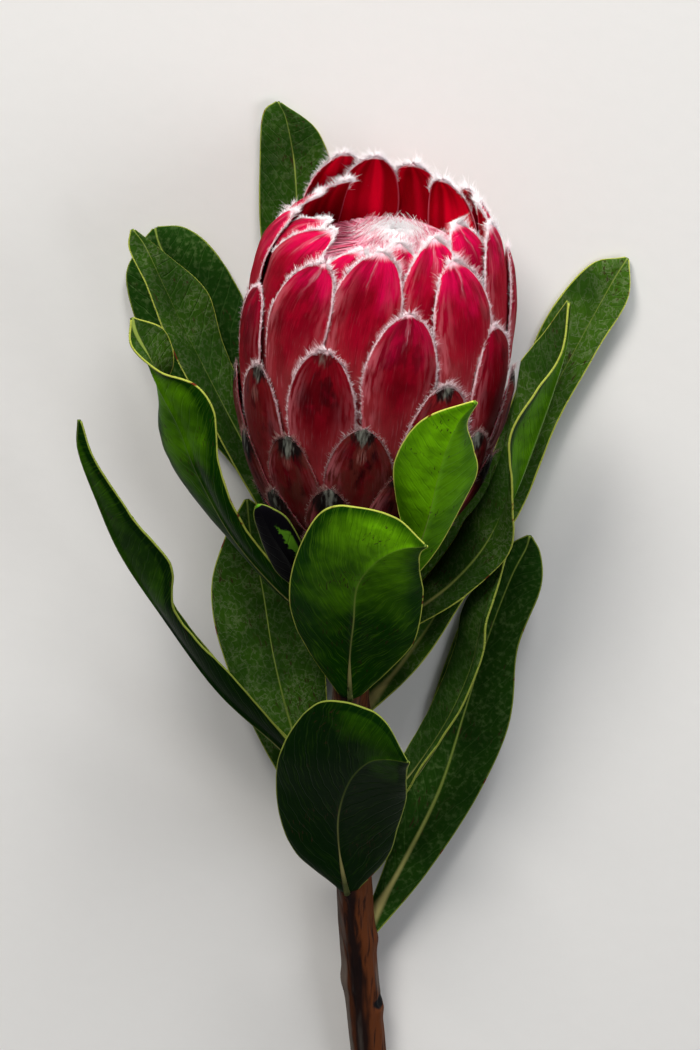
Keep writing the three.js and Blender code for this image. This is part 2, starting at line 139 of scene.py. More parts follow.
class Graph:
    """A node tree that is being written. node() adds one node and gives its first output."""

    def __init__(self, tree):
        self.tree = tree

    def node(self, kind, settings, sockets):
        made = self.tree.nodes.new(kind)
        for name, setting in settings.items():
            setattr(made, name, setting)
        for name, value in sockets.items():
            if isinstance(name, str):
                socket = next(one for one in made.inputs if one.name == name and one.enabled)
            else:
                socket = made.inputs[name]
            if isinstance(value, Value):
                self.tree.links.new(value.socket, socket)
            else:
                socket.default_value = value
        return Value(self, next((one for one in made.outputs if one.enabled), None))

    def mix(self, share, *colours):
        first, second = ((*one, 1) if isinstance(one, tuple) else one for one in colours)
        return self.node("ShaderNodeMix", {"data_type": "RGBA"}, {"Factor": share, "A": first, "B": second})

    def layers(self, colour, *layers):
        """The colour with layers laid on it in turn, each a share and a colour"""
        for share, layer in layers:
            colour = self.mix(share, colour, layer)
        return colour

    def carried(self, name):
        return self.node("ShaderNodeAttribute", {"attribute_name": name}, {}).out("Fac")

    def place(self):
        return self.node("ShaderNodeTexCoord", {}, {}).out("Object")

    def vector(self, x, y, z):
        return self.node("ShaderNodeCombineXYZ", {}, {"X": x, "Y": y, "Z": z})

    def apart(self, vector):
        parts = self.node("ShaderNodeSeparateXYZ", {}, {"Vector": vector})
        return [parts.out(axis) for axis in "XYZ"]

    def noise(self, scale, detail=2, place=None):
        sockets = {"Vector": place or self.place(), "Scale": scale, "Detail": detail}
        return self.node("ShaderNodeTexNoise", {}, sockets).out("Fac")

    def finish(self, colour, roughness, relief, depth, specular=0.5):
        normal = self.node("ShaderNodeBump", {}, {"Height": relief, "Distance": depth})
        sockets = {"Base Color": colour, "Roughness": roughness, "Normal": normal}
        surface = self.node("ShaderNodeBsdfPrincipled", {}, {**sockets, "Specular IOR Level": specular})
        self.node("ShaderNodeOutputMaterial", {}, {"Surface": surface})


def new_material(name):
    material = bpy.data.materials.new(name)
    material.use_nodes = True
    material.node_tree.nodes.clear()
    return material, Graph(material.node_tree)


table_paint, paint = new_material("table_paint")
table_grain = paint.noise(220)
table_colour = paint.mix(table_grain * 0.2, *table_colours)
paint.finish(table_colour, table_grain * 0.1 + 0.65, table_grain, table_relief)
half = table_size / 2
table_mesh = bpy.data.meshes.new("table")
table_corners = [(-half, -half, 0), (half, -half, 0), (half, half, 0), (-half, half, 0)]
table_mesh.from_pydata(table_corners, [], [(0, 1, 2, 3)])
table_mesh.materials.append(table_paint)
table = linked("table", table_mesh)

for name, place, size, power, colour in lamps:
    lamp = linked(name, bpy.data.lights.new(name, "AREA"))
    lamp.data.shape = "DISK"
    lamp.data.size = size
    lamp.data.energy = power
    lamp.data.color = colour
    lamp.location = place
    lamp.rotation_euler = (seen_middle - lamp.location).to_track_quat("-Z", "Y").to_euler()

room = bpy.data.worlds.new("room")
room.use_nodes = True
room.node_tree.nodes["Background"].inputs["Color"].default_value = room_colour
room.node_tree.nodes["Background"].inputs["Strength"].default_value = room_strength
bpy.context.scene.world = room
bpy.context.scene.view_settings.view_transform = "Standard"


# Stem
# A woody shoot with red-brown bark, split into dark streaks and grey skin, and a cushion under
# each leaf. It is lofted along its route in the upright flower's frame and then laid down.
millimetre = 0.001
flower_foot = Vector((0.0000939, 0.0318679, 0.0288))
tip_rise = math.radians(8.2)
laid_down = Matrix.Translation(flower_foot) @ Matrix.Rotation(tip_rise - math.pi / 2, 4, "X")
stem_radius = 0.005
stem_route = [
    (-0.4, 0, 1.5), (-2, 0, -20), (-2, 0, -46), (-2, 0, -80), (-1, 0, -112), (1, 0, -140), (4, -1.3, -180),
]
# Each cushion or mark is its height on the stem and its direction round it, 0 toward the viewer
cushions = [
    (-14, 180), (-23, 20), (-23, -140), (-30, -80), (-28, 75), (-44, 0), (-54, 100), (-80, 180), (-82, -80),
    (-83, 60), (-104, -110), (-109, 0), (-128, 80), (-142, -80), (-150, 85),
]
cushion_height = 0.0008
cushion_length = 3.5
scar_place = (-148.5, 68)
scar_reach = 1.6
scar_depth = 0.0011
collar_place = (-141, 80)
collar_reach = 6
mark_spread = 0.5
flute_depth = 0.15
flutes = 3
flute_twist = 0.09
# How deep the ridges and the cracks are, and how densely they follow round the stem and along it
ridge_depth, ridges_round, ridges_along = 0.32, 3.5, 0.035
crack_depth, cracks_round, cracks_along = 0.16, 9, 0.11
stem_sides = 64
stem_rings = 260
cut_rings = (0.97, 0.93, 0.75, 0.5, 0.25, 0.06)
cut_dent = 0.25


def smooth_through(points, along):
    """A place on the smooth curve through points, along from 0 to 1"""
    last = len(points) - 1
    x = min(max(along, 0), 1) * last
    index = min(int(x), last - 1)
    f = x - index
    p1 = points[index]
    p2 = points[index + 1]
    p0 = points[index - 1] if index > 0 else 2 * p1 - p2
    p3 = points[index + 2] if index + 2 <= last else 2 * p2 - p1
    return (
        p0 * ((-f + 2 * f**2 - f**3) / 2)
        + p1 * ((2 - 5 * f**2 + 3 * f**3) / 2)
        + p2 * ((f + 4 * f**2 - 3 * f**3) / 2)
        + p3 * ((f**3 - f**2) / 2)
    )


def loft(name, rings, carried, matrix, material):
    """A closed mesh through rings of points. Each end is closed by a strip, side to side."""
    count = len(rings[0])
    faces = []
    for row in range(len(rings) - 1):
        for side in range(count):
            a = row * count + side
            b = row * count + (side + 1) % count
            faces.append((a, b, b + count, a + count))
    for start, turned in ((0, False), ((len(rings) - 1) * count, True)):
        for side in range(count // 2):
            cap = [start + side, start + side + 1, start + count - side - 1, start + (count - side) % count]
            cap = list(dict.fromkeys(cap))
            faces.append(tuple(cap if turned else reversed(cap)))
    mesh = bpy.data.meshes.new(name)
    places = [matrix @ point for ring in rings for point in ring]
    mesh.from_pydata([(place.x, place.y, max(place.z, 0)) for place in places], [], faces)
    for label, values in carried.items():
        mesh.attributes.new(label, "FLOAT", "POINT").data.foreach_set("value", values)
    editable = bmesh.new()
    editable.from_mesh(mesh)
    bmesh.ops.recalc_face_normals(editable, faces=editable.faces)
    if editable.calc_volume(signed=True) < 0:
        bmesh.ops.reverse_faces(editable, faces=editable.faces)
    editable.to_mesh(mesh)
    editable.free()
    mesh.shade_smooth()
    mesh.materials.append(material)
    return linked(name, mesh)


def mark_share(angle, z, middle, reach):
    """1 in the middle of a mark on the bark, 0 away from it"""
    height, direction = middle
    turned_away = (angle - math.radians(direction)) / mark_spread
    return math.exp(-(((z - height) / reach) ** 2) - turned_away**2)


def bark_depth(angle, z):
    """How far the bark stands out there, in metres"""
    out = flute_depth * millimetre * math.sin(flutes * angle + z * flute_twist)
    for height, direction in cushions:
        facing = max(0, math.cos(angle - math.radians(direction)))
        out += cushion_height * facing**2 * math.exp(-(((z - height) / cushion_length) ** 2))
    out -= scar_depth * mark_share(angle, z, scar_place, scar_reach)
    around = Vector((math.sin(angle), math.cos(angle), 0))
    ridges = noise.noise(around * ridges_round + Vector((0, 0, z * ridges_along)))
    cracks = noise.noise(around * cracks_round + Vector((0, 0, z * cracks_along)))
    return out + (ridge_depth * ridges + crack_depth * cracks) * millimetre


stem_points = [Vector(point) * millimetre for point in stem_route]
stem_rows = []
bark_marks = {"cut": [], "side": [], "scar": [], "collar": []}
for ring in range(stem_rings + 1):
    centre = smooth_through(stem_points, ring / stem_rings)
    height = centre.z / millimetre
    row = []
    for side in range(stem_sides):
        angle = (2 * math.pi * side / stem_sides + math.pi) % (2 * math.pi) - math.pi
        radius = stem_radius + bark_depth(angle, height)
        row.append(centre + Vector((radius * math.sin(angle), -radius * math.cos(angle), 0)))
        bark_marks["cut"].append(0.0)
        bark_marks["side"].append(math.sin(angle))
        bark_marks["scar"].append(mark_share(angle, height, scar_place, scar_reach))
        bark_marks["collar"].append(mark_share(angle, height, collar_place, collar_reach))
    stem_rows.append(row)
cut_edge = stem_rows[-1]
for share in cut_rings:
    sunk = Vector((0, 0, cut_dent * millimetre * (1 - share)))
    stem_rows.append([centre + (point - centre) * share + sunk for point in cut_edge])
    for mark, values in bark_marks.items():
        values += [float(mark == "cut")] * stem_sides

bark, rind = new_material("bark")
along_grain = rind.node("ShaderNodeMapping", {}, {"Vector": rind.place(), "Scale": (1, 0.08, 1)})
streaks = rind.noise(900, 4, along_grain)
patches = rind.noise(260, 3, along_grain)
grey_skin = rind.noise(130, 4, along_grain)
lit_side = rind.carried("side") + (patches - 0.5) * 1.2
rusty = lit_side.rising(-0.05, 0.3).at_least(lit_side.rising(-0.4, -0.7) * 0.5)
grey_share = grey_skin.rising(0.58, 0.68) * 0.3 + lit_side.rising(-0.75, -1) * 0.6
grey_share = (grey_share + rind.carried("collar").rising(0.2, 0.9) * grey_skin * 1.2).at_most(1)
cut_wood = rind.mix(grey_skin, (0.55, 0.42, 0.22), (0.35, 0.36, 0.16))
bark_colour = rind.layers(
    (0.01, 0.003, 0.002),
    (rusty, (0.1, 0.026, 0.006)),
    (streaks.rising(0.5, 0.34) * 0.8, (0.006, 0.002, 0.002)),
    (grey_share, (0.16, 0.14, 0.12)),
    (rind.carried("scar").rising(0.15, 0.4), (0.002, 0.002, 0.003)),
    (rind.carried("cut"), cut_wood),
)
rind.finish(bark_colour, 0.85 - 0.25 * patches, streaks + 0.6 * grey_skin, 0.0004, specular=0.12)
stem_piece = loft("stem_bark", stem_rows, bark_marks, laid_down, bark)
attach(stem_piece, "root")
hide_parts("stem")


# Leaves
# Stiff leathery blades with a raised pale midrib and a thin yellow rim. One face is smooth and
# bright, the other felted and greyer. Each is lofted between its midrib and its two margins.
head_shift = 0.5
head_tilt = Matrix.Rotation(math.radians(5), 4, "Y")
head_lean = laid_down @ Matrix.Translation((-head_shift * millimetre, 0, 0)) @ head_tilt
head_profile = [
    (7, 0), (18, 5), (24, 10), (29.5, 18), (34, 30), (37, 45), (37.5, 60), (36.3, 75), (33.5, 88), (30.3, 98),
    (27.5, 104), (25.5, 107.5),
]
outline_steps = 240
# Each leaf is how lit and yellow it is, from 0 dark to 1 light and yellow, the side that it shows the viewer,
# and its rows. That value is partly the leaf's own yellowing and partly painted light: leaves in shade are
# painted darker and lit ones lighter. A row is a point of the midrib and of the margins beside it, in whole
# millimetres of the upright flower: x to the right, y away from the viewer, z up the stem. The last row is
# the tip.
leaves = {
    "leaf_front_low": (0.16, "smooth", [
        (-3, -4, -109, -5, -5, -107, 0, -5, -107), (-5, -12, -89, -18, -12, -89, 8, -12, -93),
        (-5, -20, -72, -22, -18, -68, 11, -20, -77), (-2, -30, -55, -20, -27, -46, 13, -29, -62),
        (3, -38, -44, -10, -36, -27, 13, -37, -51), (8, -43, -40, 5, -42, -27, 13, -42, -44),
        (13, -46, -39),
    ]),
    "leaf_front_middle": (0.68, "smooth", [
        (-2, -4, -45, -5, -5, -43, 1, -5, -43), (-2, -12, -27, -14, -12, -24, 9, -12, -31),
        (-1, -22, -10, -18, -20, -6, 15, -21, -17), (0, -32, 7, -16, -29, 14, 17, -31, 3),
        (5, -40, 19, -8, -38, 33, 16, -39, 16), (11, -46, 26, 8, -45, 35, 16, -45, 24),
        (17, -50, 29),
    ]),
    "leaf_front_small": (1, "smooth", [
        (1, -3, -18, 0, -4, -17, 3, -3, -18), (9, -16, -3, 7, -16, -2, 12, -15, -4),
        (15, -27, 14, 11, -27, 17, 20, -26, 13), (18, -37, 30, 10, -35, 32, 25, -35, 29),
        (20, -45, 46, 9, -43, 48, 30, -41, 45), (22, -51, 58, 12, -49, 60, 29, -46, 55),
        (25, -55, 68, 18, -54, 69, 27, -53, 66), (29, -58, 75),
    ]),
    "leaf_left_curled": (0.55, "smooth", [
        (-4, -2, -26, -5, -1, -28, -3, -3, -24), (-19, -8, -10, -21, -3, -13, -17, -11, -6),
        (-32, -11, 9, -36, -3, 7, -29, -17, 14), (-41, -13, 29, -47, -4, 23, -36, -21, 36),
        (-46, -14, 44, -52, -6, 38, -37, -22, 52), (-51, -15, 56, -51, -7, 50, -42, -21, 60),
        (-54, -16, 65, -48, -8, 60, -51, -20, 63), (-57, -16, 72, -50, -10, 70, -58, -18, 69),
        (-58, -15, 76),
    ]),
    "leaf_far_left": (0.2, "smooth", [
        (-4, -1, -82, -4, 1, -80, -4, -3, -82), (-20, -5, -61, -19, -2, -60, -19, -9, -56),
        (-37, -9, -40, -34, -3, -41, -36, -15, -29), (-52, -13, -13, -50, -5, -14, -48, -20, -9),
        (-62, -16, 7, -56, -7, 6, -49, -23, 8), (-68, -18, 25, -65, -11, 23, -59, -23, 22),
        (-72, -20, 40, -69, -16, 36, -68, -22, 38), (-72, -20, 49),
    ]),
    "leaf_left_middle": (0.45, "felted", [
        (-4, 1, -104, -5, 3, -103, -2, 1, -103), (-11, 6, -84, -18, 4, -83, -6, 5, -83),
        (-18, 9, -64, -28, 7, -64, -8, 7, -65), (-23, 13, -43, -37, 12, -42, -9, 9, -44),
        (-26, 17, -23, -40, 17, -24, -12, 13, -21), (-29, 20, -9, -36, 20, -9, -19, 18, -6),
        (-30, 21, 2),
    ]),
    "leaf_tiny": (0, "withered", [
        (-2, -4, -21, -3, -4, -20, -1, -4, -20), (-8, -15, -7, -11, -14, -8, -5, -15, -5),
        (-15, -19, 2, -20, -17, 0, -11, -19, 4), (-19, -24, 12, -24, -21, 10, -14, -25, 14),
        (-23, -27, 21, -26, -25, 19, -18, -28, 24), (-25, -29, 27, -27, -28, 25, -22, -29, 28),
        (-26, -29, 29),
    ]),
    "leaf_right_back": (0.6, "felted", [
        (1, 2, -54, 1, 3, -53, 2, 1, -55), (14, 9, -40, 9, 12, -35, 17, 7, -42),
        (25, 16, -25, 19, 21, -15, 29, 12, -24), (39, 23, 1, 33, 27, 3, 44, 18, 0),
        (51, 30, 26, 43, 34, 30, 54, 25, 24), (61, 34, 46, 50, 37, 49, 64, 29, 43),
        (68, 36, 60, 61, 38, 64, 72, 32, 57), (72, 37, 67),
    ]),
    "leaf_right_folded": (0.5, "felted", [
        (1, -2, -31, 0, -1, -30, 2, -3, -31), (16, -8, -16, 13, -3, -15, 19, -12, -16),
        (26, -11, -5, 22, -4, -2, 30, -16, -5), (34, -14, 8, 29, -6, 13, 40, -20, 10),
        (40, -17, 24, 33, -9, 34, 40, -25, 30), (45, -18, 40, 38, -11, 51, 39, -27, 48),
        (50, -18, 57, 42, -11, 61, 45, -26, 60), (53, -17, 69, 48, -11, 70, 52, -21, 69),
        (54, -14, 80),
    ]),
    "leaf_lower_right": (0.1, "felted", [
        (2, 1, -127, 2, 3, -126, 4, 0, -128), (13, 7, -107, 9, 9, -105, 19, 5, -110),
        (23, 12, -86, 15, 15, -84, 33, 9, -87), (30, 16, -62, 21, 19, -61, 42, 12, -64),
        (36, 19, -41, 28, 22, -39, 44, 15, -42), (42, 21, -23, 36, 24, -20, 50, 17, -24),
        (46, 22, -14, 42, 23, -13, 50, 20, -15), (47, 22, -10),
    ]),
    "leaf_lower_right_folded": (0.3, "felted", [
        (0, -2, -82, 0, -1, -81, 2, -4, -81), (12, -6, -73, 9, -3, -72, 12, -10, -74),
        (19, -8, -62, 14, -3, -62, 17, -14, -62), (26, -11, -46, 21, -4, -46, 27, -18, -42),
        (31, -13, -30, 26, -6, -29, 33, -19, -24), (34, -14, -13, 28, -8, -15, 34, -19, -13),
        (37, -14, -2, 33, -10, -5, 37, -17, -3), (39, -14, 5),
    ]),
    "leaf_upper_left": (0.45, "felted", [
        (-4, 2, -30, -4, 0, -29, -4, 3, -30), (-15, 5, -9, -17, 3, -9, -13, 7, -9),
        (-26, 10, 14, -30, 6, 15, -22, 14, 15), (-36, 14, 34, -42, 9, 38, -30, 19, 34),
        (-45, 17, 53, -51, 12, 57, -36, 22, 49), (-52, 19, 69, -56, 15, 71, -40, 23, 64),
        (-56, 20, 79, -60, 18, 79, -50, 22, 75), (-59, 20, 84),
    ]),
    "leaf_upper_left_back": (0.05, "felted", [
        (-3, 3, -21, -4, 2, -20, -2, 4, -20), (-13, 14, -5, -16, 12, -5, -10, 16, -5),
        (-25, 25, 14, -33, 22, 11, -18, 27, 17), (-36, 31, 31, -47, 29, 27, -25, 32, 35),
        (-45, 35, 49, -58, 33, 46, -30, 35, 54), (-50, 37, 64, -62, 36, 61, -38, 37, 69),
        (-53, 38, 71, -59, 38, 69, -46, 39, 75), (-54, 39, 75),
    ]),
    "leaf_top_back": (0.3, "felted", [
        (-1, 4, -12, -3, 4, -12, 1, 4, -12), (-3, 22, 3, -7, 22, 3, 1, 22, 3),
        (-11, 33, 30, -17, 31, 30, -6, 34, 30), (-15, 36, 52, -23, 34, 52, -8, 37, 51),
        (-16, 39, 75, -26, 38, 75, -4, 40, 73), (-17, 42, 93, -26, 41, 95, -6, 42, 89),
        (-19, 43, 105, -25, 42, 107, -11, 43, 102), (-21, 43, 110),
    ]),
    "leaf_back_middle": (0.3, "felted", [
        (-2, 4, -79, -5, 4, -78, 1, 4, -78), (-1, 15, -58, -5, 14, -58, 3, 14, -58),
        (0, 20, -38, -9, 19, -38, 9, 19, -37), (1, 24, -18, -15, 23, -18, 16, 23, -17),
        (2, 27, -4, -10, 26, -4, 13, 26, -3), (3, 28, 4, -4, 27, 3, 9, 27, 4),
        (3, 28, 8),
    ]),
}
leaf_marks = ("from_midrib", "from_rim", "from_base", "felted", "lit_yellow", "withered")
half_columns = (0, 0.025, 0.05, 0.09, 0.15, 0.24, 0.36, 0.48, 0.6, 0.72, 0.83, 0.91, 0.955, 0.985, 1)
leaf_columns = [-reach for reach in reversed(half_columns[1:])] + list(half_columns)
leaf_steps = 84
leaf_swell = 1.1
leaf_tip_width = 1.6
full_width = 20
leaf_thickness = 0.75
rim_thickness = 0.5
rim_rounding = 0.6
midrib_ridge = 1.1
least_ridge = 0.25
ridge_width = 1.1
ridge_narrowing = 0.5
base_ridge = 1.2
base_fading = 6
smooth_front_ridge = 0.85
felted_front_ridge = 0.35
head_clearance = 1.5
table_clearance = 0.6
table_depth = 28.8
wave_height = 0.5
wave_share, wave_scale = 1.2, 0.07
ripple_share, ripple_scale = 0.5, 0.25
tangent_step = 0.02

outline_points = [Vector((radius, 0, height)) * millimetre for radius, height in head_profile]
head_outline = [smooth_through(outline_points, step / outline_steps) for step in range(outline_steps + 1)]
outline_radii = [point.x / millimetre for point in head_outline]
outline_heights = [point.z / millimetre for point in head_outline]
lean_of_head = Matrix.Translation((-head_shift, 0, 0)) @ head_tilt
head_upright = lean_of_head.inverted()
# The rings of a leaf stand closer together toward its tip
leaf_places = [
    0.55 * step / leaf_steps + 0.45 * math.sin(step / leaf_steps * math.pi / 2)
    for step in range(leaf_steps + 1)
]


def kept_clear(point):
    """A leaf leans on the bracts and on the table, and goes into neither."""
    in_head = head_upright @ point
    if 0 < in_head.z < head_profile[-1][1]:
        radius = float(np.interp(in_head.z, outline_heights, outline_radii)) + head_clearance
        distance = math.hypot(in_head.x, in_head.y)
        if distance < radius:
            in_head.x *= radius / distance
            in_head.y *= radius / distance
            point = lean_of_head @ in_head
    lowest = (table_depth - table_clearance + point.z * math.sin(tip_rise)) / math.cos(tip_rise)
    point.y = min(point.y, lowest)
    return point


def leaf_rings(rows, salt, front_ridge):
    """The rings of a leaf's closed surface, and the widths of its two halves at each ring"""
    midrib = [Vector(row[:3]) for row in rows]
    margins = []
    for start in (3, 6):
        offsets = [Vector(row[start:start + 3]) - Vector(row[:3]) for row in rows[:-1]]
        offsets.append(offsets[-1].normalized() * (leaf_tip_width / 2))
        margins.append(offsets)
    grid = []
    widths = []
    for along in leaf_places:
        left, right = (smooth_through(margin, along) for margin in margins)
        onward = smooth_through(midrib, along + tangent_step) - smooth_through(midrib, along - tangent_step)
        face = onward.normalized().cross(right - left).normalized()
        centre = smooth_through(midrib, along)
        breadth = min(1, (right - left).length / full_width)
        row = []
        for across in leaf_columns:
            reach = abs(across)
            swell = leaf_swell * 4 * (reach - reach**2) * breadth
            point = centre + (left if across < 0 else right) * reach - face * swell
            wave = noise.noise(point * wave_scale + Vector((salt, 0, 0)))
            ripple = noise.noise(point * ripple_scale + Vector((0, salt, 0)))
            lift = reach**2 * wave_height * breadth * (wave_share * wave + ripple_share * ripple)
            row.append(kept_clear(point + face * lift))
        grid.append(row)
        widths.append((left.length, right.length))
    rings = []
    last_column = len(leaf_columns) - 1
    for index, along in enumerate(leaf_places):
        front = []
        back = []
        for column, across in enumerate(leaf_columns):
            middle = grid[index][column]
            beside = grid[index][min(column + 1, last_column)] - grid[index][max(column - 1, 0)]
            ahead = grid[min(index + 1, leaf_steps)][column] - grid[max(index - 1, 0)][column]
            normal = beside.cross(ahead).normalized()
            width = widths[index][across >= 0]
            rim_share = math.exp(-(((1 - abs(across)) * width / rim_rounding) ** 2))
            thickness = leaf_thickness - (leaf_thickness - rim_thickness) * rim_share
            ridge_side = abs(across) * width / (ridge_width - ridge_narrowing * along)
            ridge = (midrib_ridge * (1 - along) + least_ridge) * math.exp(-(ridge_side**2))
            base = base_ridge * max(0, 1 - along * base_fading)
            front.append(middle + normal * (thickness / 2 + ridge * front_ridge + base / 2))
            back.append(middle - normal * (thickness / 2 + ridge * (1 - front_ridge) + base / 2))
        rings.append([point * millimetre for point in back + list(reversed(front))])
    return rings, widths


def leaf_measures(lit_and_yellow, side, rows, widths):
    """What a leaf's finish reads at each point, in the order of the points on the rings"""
    midrib = [Vector(row[:3]) for row in rows]
    length = sum((after - before).length for before, after in zip(midrib, midrib[1:]))
    withered = float(side == "withered")
    measures = []
    for along, width in zip(leaf_places, widths):
        for in_front, columns in ((False, leaf_columns), (True, reversed(leaf_columns))):
            felt = float(in_front == (side == "felted"))
            for across in columns:
                half_width = width[across >= 0]
                from_rim = (1 - abs(across)) * half_width
                measures.append((across * half_width, from_rim, along * length, felt, lit_and_yellow, withered))
    return dict(zip(leaf_marks, zip(*measures)))


leaf_skin, skin = new_material("leaf_skin")
from_midrib, from_rim, from_base, felted, lit_yellow, withered = (skin.carried(mark) for mark in leaf_marks)
broad = skin.noise(55, 3)
fine = skin.noise(700, 3)
# Painted light: each blade is painted lighter in its middle and toward its tip, and darker at its margins and
# near its base, as if lit and shaded there.
lit_middle = from_rim.rising(0, 2.5 + 5.5 * lit_yellow) * (from_base + (broad - 0.5) * 20).rising(24, 74)
# Side veins leave the midrib at a sharp angle, and fine scratches run along them
wander = skin.noise(120, 2)
vein_step = 5.5
vein_course = from_base - abs(from_midrib) * 1.5 + wander * 5
vein_wave = abs((vein_course / vein_step).math("FRACT", vein_course / vein_step) - 0.5) * 2
side_veins = vein_wave.rising(0.82, 1) * abs(from_midrib).rising(0.4, 2)
stretched = skin.vector(from_midrib * 0.5, vein_course * 0.12, felted)
dashes = skin.noise(2.2, 3, stretched)
scratches = skin.noise(2, 4, skin.vector(from_midrib * 0.12, vein_course * 0.9, lit_yellow))
mottling = skin.noise(210, 4)
# A painted shade green and a painted lit green of one leaf; lit_share lays the lit one where the blade is
# painted as lit. The dark green also colours the real scratches and mottling.
shade_and_mark_green = skin.mix(lit_yellow, (0.001, 0.007, 0.001), (0.008, 0.055, 0.001))
lit_green = skin.mix(lit_yellow, (0.006, 0.04, 0.002), (0.21, 0.58, 0.003))
lit_share = (lit_middle + (broad - 0.5) * 1.2 + (lit_yellow - 0.7) * 1.5).at_least(0).at_most(1)
# Painted shade: the right half of the most lit blades is painted darker.
painted_shade_half = from_midrib.rising(-0.3, 1.2) * lit_yellow.rising(0.61, 0.67)
smooth_green = skin.layers(
    shade_and_mark_green,
    (lit_share, lit_green),
    (painted_shade_half * 0.3, shade_and_mark_green),
    (side_veins * broad * (0.02 + 0.2 * lit_yellow), (0.1, 0.3, 0.01)),
    (scratches.rising(0.5, 0.64) * 0.24, shade_and_mark_green),
    (scratches.rising(0.46, 0.34) * lit_yellow * 0.2, (0.28, 0.62, 0.02)),
    (mottling.rising(0.44, 0.66) * 0.34, shade_and_mark_green),
)
tangle = abs(skin.noise(400, 3) - 0.5).rising(0.045, 0)
felt_green = skin.layers(
    skin.mix(lit_yellow, (0.008, 0.036, 0.003), (0.052, 0.13, 0.008)),
    (fine.rising(0.48, 0.7) * 0.4, (0.1, 0.16, 0.05)),
    (tangle * lit_yellow.rising(0.05, 0.5) * 0.42, (0.16, 0.2, 0.1)),
    (dashes.rising(0.55, 0.72) * (0.2 + lit_yellow) * 0.35, (0.15, 0.2, 0.08)),
    (broad.rising(0.62, 0.38) * 0.6, (0.006, 0.026, 0.003)),
    (side_veins * 0.12, (0.1, 0.2, 0.05)),
)
blemish = skin.noise(3.4, 2, stretched).rising(0.6, 0.66) * skin.noise(95).rising(0.53, 0.6)
# The tiny leaf has died back to a black skin, but for a green patch beside its midrib and its tip
jag = skin.noise(480, 3) - 0.5
patch_side = from_midrib - 2.3 + jag * 4
green_patch = patch_side.rising(-0.2, 0.3) * (patch_side + from_base * 0.42).rising(18, 17.2)
green_patch = green_patch * from_base.rising(24, 30) * from_rim.rising(1, 1.5)
tip_strip = (from_base - from_midrib * 0.8 + jag * 1.5).rising(59, 59.8) * from_rim.rising(1.7, 1.3)
green_patch = green_patch.at_least(tip_strip)
rib_width = (1.1 - from_base * 0.011).at_least(0.45) * (0.8 + 0.4 * felted)
rib_width = rib_width + from_base.rising(14, 2) * felted
rib_colour = skin.layers(
    (0.42, 0.36, 0.14),
    (from_base.rising(0, 45), (0.25, 0.33, 0.06)),
    ((1 - felted) * from_base.rising(9, 3) * 0.8, (0.05, 0.08, 0.02)),
)
rib_fade = from_base.rising(8 + 30 * lit_yellow, 36 + 34 * lit_yellow)
rib_strength = (0.8 + 0.1 * felted - 0.7 * withered - 0.6 * (1 - felted) * rib_fade).at_least(0)
rim_colour = skin.layers(
    (0.2, 0.25, 0.04),
    (lit_yellow**1.5, (0.66, 0.7, 0.11)),
    (skin.noise(140).rising(0.66, 0.7), (0.16, 0.03, 0.012)),
)
leaf_colour = skin.layers(
    smooth_green,
    (felted, felt_green),
    (blemish * 0.85, (0.03, 0.018, 0.008)),
    (withered * (1 - green_patch), (0.004, 0.0035, 0.005)),
    (withered * green_patch, (0.1, 0.27, 0.015)),
    (abs(from_midrib).rising(rib_width, rib_width * 0.3) * rib_strength, rib_colour),
    ((from_rim + (wander - 0.5) * 0.4).rising(0.38, 0.16), rim_colour),
)
leaf_roughness = (0.34 + 0.36 * felted) + 0.12 * (broad - 0.5) + 0.1 * fine
leaf_relief = fine * (0.2 + 0.8 * felted) - side_veins * 0.8 + scratches * 0.5
skin.finish(leaf_colour, leaf_roughness, leaf_relief, 0.00012, specular=0.015)

for node, (lit_and_yellow, side, rows) in leaves.items():
    piece_name = node + "_blade"
    front_ridge = felted_front_ridge if side == "felted" else smooth_front_ridge
    rings, widths = leaf_rings(rows, len(piece_name), front_ridge)
    blade = loft(piece_name, rings, leaf_measures(lit_and_yellow, side, rows, widths), laid_down, leaf_skin)
    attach(blade, "root")
    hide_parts(node)


# Bracts
# The coloured scales of the head, leathery and a little crowned, which overlap in spirals like
# shingles. One crowned plate is repeated, and each copy is laid on the head's outline by its sizes.
golden_angle = math.radians(137.5)
first_azimuth = math.radians(-4.5)
first_bract = -30
last_bract = 35
highest_rim = 102.6
rim_slope = 1.3
rim_wave_turn = 2.4
# The height of bract 0's tip, and how much higher each next one stands, below and above it
middle_tip = 55
lower_climb = 1.6
upper_climb = 2.42
bract_length = 38 * millimetre
# A bract's width: the least, what is added higher up, and the height over which that happens
least_width = 13
added_width = 8
widening_from = 10
widening_over = 50
# The upper bracts stand one behind the other
front_depth = 0.4 * millimetre
depth_step = 0.2 * millimetre
last_in_front = 18
# How far the tips stray from their spiral, in millimetres: to the right, inward and upward
tip_strays = {
    8: (0.8, 0.5, 0.5), 10: (-2, 2, -1), 11: (2, 2, -1.4), 13: (1.3, 0.5, 0.5), 16: (5, 3, 1.8),
    18: (-2.7, 3, 0), 19: (2, 6, -2), 20: (0, 3, -1.5), 21: (3.5, 1, -1.2), 24: (8, 8, -0.7),
    25: (4, 2, -1), 26: (4, 4, 2.5), 27: (-1, 7, -4), 28: (0, 3, 0), 29: (7, 5, -2),
    31: (0, 4, 4.5), 32: (6, 10, -1), 33: (1.5, 3, 0), 34: (2, 2, 1.5), 35: (-3, 6, -1.5),
}
usual_stray = (0, 1, 0)
least_half_width = 0.6
